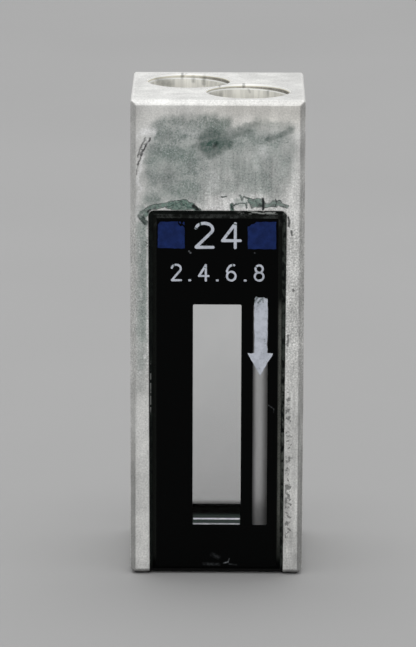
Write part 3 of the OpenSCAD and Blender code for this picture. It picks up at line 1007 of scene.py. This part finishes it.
def thread_cutter(tree, port, look, material):
    """One port's groove cutter as a plain mesh, in metres and in place."""
    helper = in_scene("thread cutter", bpy.data.meshes.new("thread cutter"))
    modifier = helper.modifiers.new("Thread", "NODES")
    modifier.node_group = tree
    height = (look.thread_depth - look.thread_start) / MM
    values = {"Root Radius": look.thread_radius / MM, "Inner Radius": PORT_CORE_R - CLEARANCE,
              "Pitch": look.thread_pitch / MM, "Height": height, "Material": material}
    for item in tree.interface.items_tree:
        if item.in_out == "INPUT":
            modifier[item.identifier] = values[item.name]
    mesh = applied(helper)
    bottom = TOP - look.thread_depth / MM
    mesh.transform(Matrix.Translation((port.x * MM, port.y * MM, bottom * MM))
                   @ Matrix.Scale(MM, 4))
    bm = working_copy(mesh)
    bmesh.ops.remove_doubles(bm, verts=bm.verts, dist=WELD)
    bmesh.ops.recalc_face_normals(bm, faces=bm.faces)
    helper.data = written(bm, mesh)
    return helper


def mouth_cutter(port, look):
    """A port's worn mouth: a steep bevel, a low upright step that leans, and a narrow chamfer."""
    lip, ledge = look.lip_radius / MM, look.step_radius / MM
    lean = math.tan(look.lip_lean)
    # Radius, height under the top face, and whether the ring leans
    rings = [(PORT_CORE_R, -1.0, 1), (ledge - 0.11, -0.42, 1), (ledge, -0.3, 1),
             (ledge, -0.2, 0), (lip, 0.0, 0), (lip + 0.1, 0.25, 0)]
    steps = 96
    bm = bmesh.new()
    loops = []
    for radius, height, leans in rings:
        turns = [math.tau * i / steps for i in range(steps)]
        loops.append([bm.verts.new((
            radius * math.cos(turn) * MM, radius * math.sin(turn) * MM,
            (height - leans * lean * radius * math.cos(turn)) * MM)) for turn in turns])
    for low, high in zip(loops, loops[1:]):
        bridge(bm, low, high)
    bm.faces.new(loops[0][::-1])
    bm.faces.new(loops[-1])
    mesh = written(bm, "mouth cutter")
    mesh.transform(Matrix.Translation(Vector((port.x, port.y, TOP)) * MM))
    return in_scene("mouth cutter", mesh)


# ---------------------------------------------------------------- digits

def arc(cx, cz, rx, rz, start, end, count=14):
    return [(cx + rx * math.cos(math.radians(start + (end - start) * i / count)),
             cz + rz * math.sin(math.radians(start + (end - start) * i / count)))
            for i in range(count + 1)]


# Strokes of plain round digits in a box one wide and two tall: lists of points
DIGITS = {
    "2": [arc(0.5, 1.49, 0.45, 0.47, 168, -28) + [(0.07, 0.09)], [(0.09, 0.07), (0.97, 0.07)]],
    "4": [[(0.74, 0.05), (0.74, 1.93)], [(0.74, 1.93), (0.06, 0.6)], [(0.06, 0.6), (1.0, 0.6)]],
    "6": [arc(0.66, 0.98, 0.6, 0.97, 78, 170, 9), arc(0.5, 0.6, 0.43, 0.54, 0, 360, 24)],
    "8": [arc(0.5, 1.48, 0.36, 0.44, 0, 360, 22), arc(0.5, 0.56, 0.44, 0.5, 0, 360, 24)],
}


def stroke_outline(points, half, seed):
    """Outline of a stroke with round ends, a little uneven in width; a ring gives two loops."""
    closed = math.dist(points[0], points[-1]) < 1e-6
    left, right = [], []
    for i, (px, pz) in enumerate(points):
        ax, az = points[i - 1] if i else points[-2 if closed else 0]
        bx, bz = points[i + 1] if i + 1 < len(points) else points[1 if closed else -1]
        size = math.dist((ax, az), (bx, bz))
        wide = half * (0.96 + 0.26 * noise.noise(Vector((px * 4.1, pz * 4.1, seed))))
        nx, nz = -(bz - az) / size * wide, (bx - ax) / size * wide
        left.append((px + nx, pz + nz))
        right.append((px - nx, pz - nz))
    if closed:
        return [left[:-1], right[:-1]]

    def cap(end, start):
        turn = math.degrees(math.atan2(start[1] - end[1], start[0] - end[0]))
        return arc(*end, half, half, turn, turn - 180, 8)[1:-1]
    return [left + cap(points[-1], left[-1]) + right[::-1] + cap(points[0], right[0])]


def stroke_mesh(name, strokes, half, y_back, thickness, seed):
    """Raised ink strokes; each lies a little higher than the one before, so none share a face."""
    bm = bmesh.new()
    for number, points in enumerate(strokes):
        rise = thickness * (1.0 + 0.2 * (number % 4))
        part = plates(name, [stroke_outline(points, half, seed + number)], y_back, rise)
        bm.from_mesh(part)
        bpy.data.meshes.remove(part)
    return written(bm, name)


def digit_strokes(text, centres, z_low, width, height):
    """Strokes of a row of digits, each centred on its own place."""
    strokes = []
    for sign, centre in zip(text, centres):
        for stroke in DIGITS[sign]:
            strokes.append([(centre + (px - 0.5) * width, z_low + pz * height / 2)
                            for px, pz in stroke])
    return strokes


EDGE_STATE = 1795377611                  # fixed, so that torn edges are the same each run


def ragged(points, reach, seed, gap=0.12):
    """The outline with extra points and a torn edge."""
    noise.seed_set(EDGE_STATE)
    out = []
    for (ax, az), (bx, bz) in zip(points, points[1:] + points[:1]):
        count = max(1, round(math.hypot(bx - ax, bz - az) / gap))
        for i in range(count):
            px, pz = ax + (bx - ax) * i / count, az + (bz - az) * i / count
            shift = noise.noise_vector(Vector((px * 3.1, pz * 3.1, seed)))
            out.append((px + shift.x * reach, pz + shift.y * reach))
    return out


# ---------------------------------------------------------------- settings

def colour_property(name, text, value):
    return bpy.props.FloatVectorProperty(name=name, description=text, default=value,
                                         subtype="COLOR", size=3, min=0.0, max=1.0)


def number_property(name, text, value, **limits):
    return bpy.props.FloatProperty(name=name, description=text, default=value,
                                   **{"min": 0.0, **limits})


def length_property(name, text, value):
    return number_property(name, text, value * MM, subtype="DISTANCE", unit="LENGTH",
                           precision=5)


class CuvetteHousing(bpy.types.PropertyGroup):
    metal_colour: colour_property("Metal", "Colour of the bare metal", (0.68, 0.68, 0.665))
    haze_colour: colour_property("Haze", "Colour of the dull film", (0.238, 0.278, 0.262))
    green_colour: colour_property("Green stain", "Colour of the green film", (0.15, 0.22, 0.19))
    rim_highlight_colour: colour_property("Top edges", "Colour of the bright top edges", (0.86, 0.86, 0.84))
    wall_colour: colour_property("Port walls", "Colour of the ports' walls", (0.9, 0.89, 0.835))
    grain_size: length_property("Grain", "Size of the metal's grain", 0.13)
    grain_depth: number_property("Grain depth", "How much the grain varies the brightness", 0.3,
                                 max=1.0)
    roughness: number_property("Roughness", "Roughness of bare metal", 0.6, min=0.1, max=1.0,
                               subtype="FACTOR")
    edge_round: length_property("Edge round", "Rounding left on the housing's edges", 0.06)
    thread_radius: length_property("Thread radius", "Radius at the thread's root", 3.0)
    thread_pitch: length_property("Thread pitch", "Height of one turn", 1.0)
    thread_depth: length_property("Thread depth", "How deep the thread runs", 6.0)
    thread_start: length_property("Thread start", "Depth at which the thread starts", 1.2)
    foot_lean: length_property("Foot lean", "How far the legs' inner edges lean in at the foot",
                               0.11)
    lip_radius: length_property("Lip radius", "Radius of the ports' mouths", 3.08)
    step_radius: length_property("Step radius", "Radius of the ports' worn step", 3.0)
    lip_lean: number_property("Lip lean", "How much the step leans", math.radians(1.8),
                              subtype="ANGLE")


class CuvetteCell(bpy.types.PropertyGroup):
    black_colour: colour_property("Black silica", "Colour of the masks", (0.0018, 0.002, 0.002))
    bevel_colour: colour_property("Bevel", "Colour of the ground bevel", (0.013, 0.0145, 0.013))
    dust_and_sheen_bevel_colour: colour_property("Dusty bevel", "Colour of the top bevel where dusty",
                                        (0.06, 0.065, 0.062))
    lit_bevel_colour: colour_property("Lit bevel", "Colour of the bevel beside the channel",
                                      (0.172, 0.178, 0.16))
    frost_colour: colour_property("Channel", "Tint of the ground channel", (1.0, 1.0, 1.0))
    seam_colour: colour_property("Seams", "Colour of the window's ground edges",
                                 (0.9, 0.88, 0.95))
    swell: length_property("Fit", "How far clear blocks reach into black ones", 0.006)


class CuvettePrint(bpy.types.PropertyGroup):
    blue_colour: colour_property("Blue", "Colour of the squares", (0.011, 0.026, 0.12))
    white_colour: colour_property("White", "Colour of the numbers and the arrow",
                                  (0.58, 0.61, 0.68))
    dull_colour: colour_property("Dull white", "Colour of thin ink", (0.45, 0.48, 0.54))
    ink_height: length_property("Ink", "Height of the ink over the glass", 0.012)


class CuvetteStage(bpy.types.PropertyGroup):
    floor_colour: colour_property("Floor", "Colour of floor and backdrop", (0.4, 0.4, 0.4))
    world_level: number_property("World", "Level of the even light", 0.6, max=2.0)
    top_power: number_property("Overhead", "Power of the lamp on top", 1.35, unit="POWER")
    rear_power: number_property("Rear", "Power of the lamp behind", 1.1, unit="POWER")
    front_power: number_property("Front", "Power of the lamp in front", 2.2, unit="POWER")


# ---------------------------------------------------------------- pieces

def cut_regions(mesh):
    """Cuts the front face along the regions' borders and gives each its own material."""
    bm = working_copy(mesh)

    def front():
        return [face for face in bm.faces if face.normal.y < -0.9
                and face.calc_center_median().y / MM < HOUSE_LOW.y + 0.1]

    heights = {z for _, _, low, high in REGIONS.values() for z in (low, high)}
    widths = {x for left, right, _, _ in REGIONS.values() for x in (left, right)}
    cuts = [((0, 0, z), (0, 0, 1)) for z in heights] + [((x, 0, 0), (1, 0, 0)) for x in widths]
    for place, normal in cuts:
        faces = front()
        edges = {edge for face in faces for edge in face.edges}
        verts = {vert for face in faces for vert in face.verts}
        bmesh.ops.bisect_plane(bm, geom=[*faces, *edges, *verts], dist=1e-8,
                               plane_co=Vector(place) * MM, plane_no=normal)
    for face in front():
        centre = face.calc_center_median() / MM
        for number, (left, right, bottom, top) in enumerate(REGIONS.values(), 1):
            if left < centre.x < right and bottom < centre.z < top:
                face.material_index = number
    written(bm, mesh)


class CUVETTE_OT_housing(bpy.types.Operator):
    """Make the metal housing with rounded edges and cut threads"""
    bl_idname = "cuvette.housing"
    bl_label = "Housing"

    def execute(self, context):
        look = context.scene.cuvette_housing
        metal = metal_material("satin metal", REST)
        mesh = dress(merged_copy("housing", "housing_metal"), metal)
        # The legs' inner edges lean in at the foot, on the front only
        half_leg = (HOUSE_HIGH.x + CELL_HIGH.x) / 2
        for vert in mesh.vertices:
            px, py, pz = vert.co / MM
            if pz < 0.5 and py < CELL_LOW.y + 0.3 and abs(px) < half_leg:
                vert.co.x -= math.copysign(look.foot_lean, px)
        helper = in_scene("housing helper", mesh)
        bevel = helper.modifiers.new("Edges", "BEVEL")
        bevel.width = look.edge_round
        bevel.segments = 2
        bevel.limit_method = "ANGLE"
        bevel.angle_limit = math.radians(30)
        helper.data = applied(helper)
        tree = thread_tree()
        for cutter in ([thread_cutter(tree, port, look, metal) for port in PORTS]
                       + [mouth_cutter(port, look) for port in PORTS]):
            cut = helper.modifiers.new("Cut", "BOOLEAN")
            cut.operation = "DIFFERENCE"
            cut.solver = "MANIFOLD"
            cut.object = cutter
            helper.data = applied(helper)
            bpy.data.objects.remove(cutter)
        mesh = helper.data
        bpy.data.objects.remove(helper)
        dress(mesh, metal, *(metal_material("satin metal " + name, region)
                             for name, region in REGIONS.items()))
        mesh.polygons.foreach_set("material_index", [0] * len(mesh.polygons))
        cut_regions(mesh)
        shade_smooth(mesh, 15)
        new_piece("housing_metal", mesh, ["housing"])
        return {"FINISHED"}


INSIDE = 0.6                             # how far from the cell's outside a joint starts


class CUVETTE_OT_cell(bpy.types.Operator):
    """Make the black and clear layers of the cell with their polished and ground faces"""
    bl_idname = "cuvette.cell"
    bl_label = "Cell"

    def execute(self, context):
        look = context.scene.cuvette_cell
        black, joint = black_glass_material(), joint_glass_material()
        clear, ground = clear_glass_material(), ground_glass_material()
        for node in ("front_mask", "chamber_spacer", "rear_mask"):
            mesh = dress(merged_copy(node, node + "_glass"), black, joint)
            for face in mesh.polygons:
                centre = face.center / MM
                inside = (abs(centre.x) < CELL_HIGH.x - INSIDE
                          and CELL_LOW.z + INSIDE < centre.z < CELL_HIGH.z - INSIDE)
                hidden = abs(centre.y) < abs(FACE_Y) - INSIDE
                across = abs(face.normal.y) < 0.5
                if (inside and across) or (hidden and not across):
                    face.material_index = 1
            new_piece(node + "_glass", mesh, [node])
        for node in ("front_window", "rear_window"):
            mesh = dress(merged_copy(node, node + "_glass"), clear, ground)
            bm = working_copy(mesh)
            bmesh.ops.triangulate(bm, faces=bm.faces)
            bm.normal_update()
            # Every face moves out a little along its own direction, so that rays meet the
            # black first; those on the outside stay where they are
            moved = {}
            for vert in bm.verts:
                seen = []
                for face in vert.link_faces:
                    if all(face.normal.dot(other) < 0.99 for other in seen):
                        seen.append(face.normal.copy())
                moved[vert] = sum(seen, Vector())
            for vert, push in moved.items():
                if abs(abs(vert.co.y / MM) - abs(FACE_Y)) < 0.001:
                    push.y = 0.0
                vert.co += push * look.swell
            written(bm, mesh)
            for face in mesh.polygons:
                centre = face.center / MM
                if centre.y < FACE_Y + 0.05 and centre.x > STRIP[0]:
                    face.material_index = 1
            new_piece(node + "_glass", mesh, [node])
        return {"FINISHED"}


class CUVETTE_OT_seams(bpy.types.Operator):
    """Make the two ground edges at the window's bottom"""
    bl_idname = "cuvette.seams"
    bl_label = "Window seams"

    def execute(self, context):
        left, right, bottom, _ = WINDOW
        # Depth, foot and height of each bar
        bars = [(SEAM_Y, bottom - 0.03, 0.13), (FACE_Y + 0.12, bottom + 0.01, 0.095)]
        bm = bmesh.new()
        for y, z, tall in bars:
            place = Matrix.LocRotScale(Vector(((left + right) / 2, y, z + tall / 2)) * MM, None,
                                       Vector((right - left - 0.1, 0.1, tall)) * MM)
            bmesh.ops.create_cube(bm, size=1.0, matrix=place)
        mesh = dress(written(bm, "window_seams"), seam_material())
        new_piece("window_seams", mesh)
        return {"FINISHED"}


class CUVETTE_OT_adhesive(bpy.types.Operator):
    """Give the adhesive layer its dull black look"""
    bl_idname = "cuvette.adhesive"
    bl_label = "Adhesive"

    def execute(self, context):
        dress(frame["nodes"]["adhesive"].data, adhesive_material())
        return {"FINISHED"}


class CUVETTE_OT_prints(bpy.types.Operator):
    """Print the squares, the plain numbers and the flow arrow on the front mask"""
    bl_idname = "cuvette.prints"
    bl_label = "Prints"

    def execute(self, context):
        ink = context.scene.cuvette_print.ink_height / MM
        squares = [
            [(-4.28, 24.24), (-2.35, 24.22), (-2.36, 25.72), (-2.5, 25.88), (-2.66, 25.84),
             (-2.82, 26.0), (-2.84, 26.17), (-4.1, 26.15), (-4.27, 25.9)],
            [(2.18, 24.19), (4.2, 24.18), (4.2, 26.19), (2.8, 26.17), (2.62, 26.02),
             (2.4, 25.96), (2.32, 25.84), (2.17, 25.84)],
            [(-2.74, 26.04), (-2.6, 26.0), (-2.64, 26.15), (-2.76, 26.15)],
            [(-2.5, 26.02), (-2.37, 25.92), (-2.36, 26.14), (-2.44, 26.16)],
        ]
        white = white_ink_material()
        arrow = [(2.67, 20.55), (2.8, 20.72), (3.0, 20.6), (3.3, 20.66), (3.64, 20.58),
                 (3.62, 16.55), (4.02, 16.5), (3.145, 14.85), (2.21, 16.52), (2.69, 16.55)]
        large = digit_strokes("24", (-0.95, 0.95), 24.24, 1.35, 1.86)
        small = digit_strokes("2468", (-2.95, -1.0, 1.0, 3.0), 21.84, 0.72, 1.2)
        small += [[(px - 0.03, 21.88), (px + 0.03, 21.88)] for px in (-1.98, 0.0, 2.0)]
        squares = [ragged(square, 0.035, 3.0 * number) for number, square in enumerate(squares)]
        for mesh, material in (
                (plates("print_squares", squares, FACE_Y, ink), blue_ink_material()),
                (plates("print_arrow", [ragged(arrow, 0.06, 7.0)], FACE_Y, ink), white),
                (stroke_mesh("print_large_numbers", large, 0.11, FACE_Y, ink, 1.0), white),
                (stroke_mesh("print_small_numbers", small, 0.08, FACE_Y, ink, 5.0), white)):
            new_piece(mesh.name, dress(mesh, material))
        return {"FINISHED"}


FLOOR_REACH = 2.5                           # metres from the middle to each side
FOCAL_LENGTH = 249.02
CAMERA_TURN = (-0.2855, 12.8392, 0.2003)    # degrees to the right, down and clockwise
CAMERA_PLACE = (0.000907, -0.32, 0.090255)  # in metres


class CUVETTE_OT_stage(bpy.types.Operator):
    """Set up the floor, the light and the camera"""
    bl_idname = "cuvette.stage"
    bl_label = "Stage"

    def execute(self, context):
        look = context.scene.cuvette_stage
        scene = context.scene
        graph, place = new_material("stage floor", look.floor_colour)
        colour = mix(ramp(graph.noise(place, 0.02, 2.0), 0.3, 0.7), look.floor_colour,
                     darker(look.floor_colour, 0.97))
        bm = bmesh.new()
        bmesh.ops.create_grid(bm, x_segments=4, y_segments=4, size=FLOOR_REACH)
        floor = in_scene("stage_floor", dress(written(bm, "stage_floor"), graph.surface(
            Base_Color=colour, Roughness=0.8, Specular_IOR_Level=0.1)))

        world = bpy.data.worlds.new("studio")
        scene.world = world
        world.use_nodes = True
        background = world.node_tree.nodes["Background"]
        background.inputs[0].default_value = (1.0, 1.0, 1.0, 1.0)
        background.inputs[1].default_value = look.world_level

        middle = Vector((0.0, 0.0, TOP / 2 * MM))
        for name, place, size, power in (
                ("overhead", (0.0, 0.02, 0.55), (0.5, 0.4), look.top_power),
                ("rear", (0.0, 0.75, 0.42), (1.0, 0.5), look.rear_power),
                ("front", (0.0, -0.95, 0.16), (1.2, 0.3), look.front_power)):
            lamp = bpy.data.lights.new(name, "AREA")
            lamp.shape = "RECTANGLE"
            lamp.size, lamp.size_y = size
            lamp.energy = power
            box = in_scene(name, lamp)
            box.location = place
            box.rotation_euler = (middle - box.location).to_track_quat("-Z", "Y").to_euler()

        lens = bpy.data.cameras.new("camera")
        lens.lens = FOCAL_LENGTH
        lens.sensor_width = 36.0
        lens.clip_start, lens.clip_end = 0.01, 20.0
        camera = in_scene("camera", lens)
        yaw, pitch, roll = (math.radians(angle) for angle in CAMERA_TURN)
        forward = Vector((math.sin(yaw) * math.cos(pitch), math.cos(yaw) * math.cos(pitch),
                          -math.sin(pitch)))
        right = Vector((math.cos(yaw), -math.sin(yaw), 0.0))
        up = right.cross(forward)
        right, up = (math.cos(roll) * right + math.sin(roll) * up,
                     math.cos(roll) * up - math.sin(roll) * right)
        turn = Matrix((right, up, -forward)).transposed()
        camera.matrix_world = Matrix.Translation(CAMERA_PLACE) @ turn.to_4x4()
        scene.camera = camera
        scene.view_settings.view_transform = "Standard"
        return {"FINISHED"}


class CUVETTE_PT_panel(bpy.types.Panel):
    """The cuvette's pieces and their settings"""
    bl_idname = "CUVETTE_PT_panel"
    bl_label = "Flow-through cuvette"
    bl_space_type = "VIEW_3D"
    bl_region_type = "UI"
    bl_category = "Cuvette"

    def draw(self, context):
        for name, operators in PANEL_ROWS:
            box = self.layout.box()
            for operator in operators:
                box.operator(operator)
            group = getattr(context.scene, name)
            for key in group.__annotations__:
                box.prop(group, key)


PANEL_ROWS = [
    ("cuvette_housing", ["cuvette.housing"]),
    ("cuvette_cell", ["cuvette.cell", "cuvette.seams", "cuvette.adhesive"]),
    ("cuvette_print", ["cuvette.prints"]),
    ("cuvette_stage", ["cuvette.stage"]),
]
SETTINGS = {"cuvette_housing": CuvetteHousing, "cuvette_cell": CuvetteCell,
            "cuvette_print": CuvettePrint, "cuvette_stage": CuvetteStage}
CLASSES = [CuvetteHousing, CuvetteCell, CuvettePrint, CuvetteStage, CUVETTE_OT_housing,
           CUVETTE_OT_cell, CUVETTE_OT_seams, CUVETTE_OT_adhesive, CUVETTE_OT_prints,
           CUVETTE_OT_stage, CUVETTE_PT_panel]


def register():
    for cls in CLASSES:
        bpy.utils.register_class(cls)
    for name, group in SETTINGS.items():
        setattr(bpy.types.Scene, name, bpy.props.PointerProperty(type=group))


def unregister():
    for name in SETTINGS:
        delattr(bpy.types.Scene, name)
    for cls in reversed(CLASSES):
        bpy.utils.unregister_class(cls)


def main():
    """Makes every piece in order."""
    register()
    for _, operators in PANEL_ROWS:
        for operator in operators:
            area, label = operator.split(".")
            getattr(getattr(bpy.ops, area), label)()


if __name__ == "__main__":
    main()
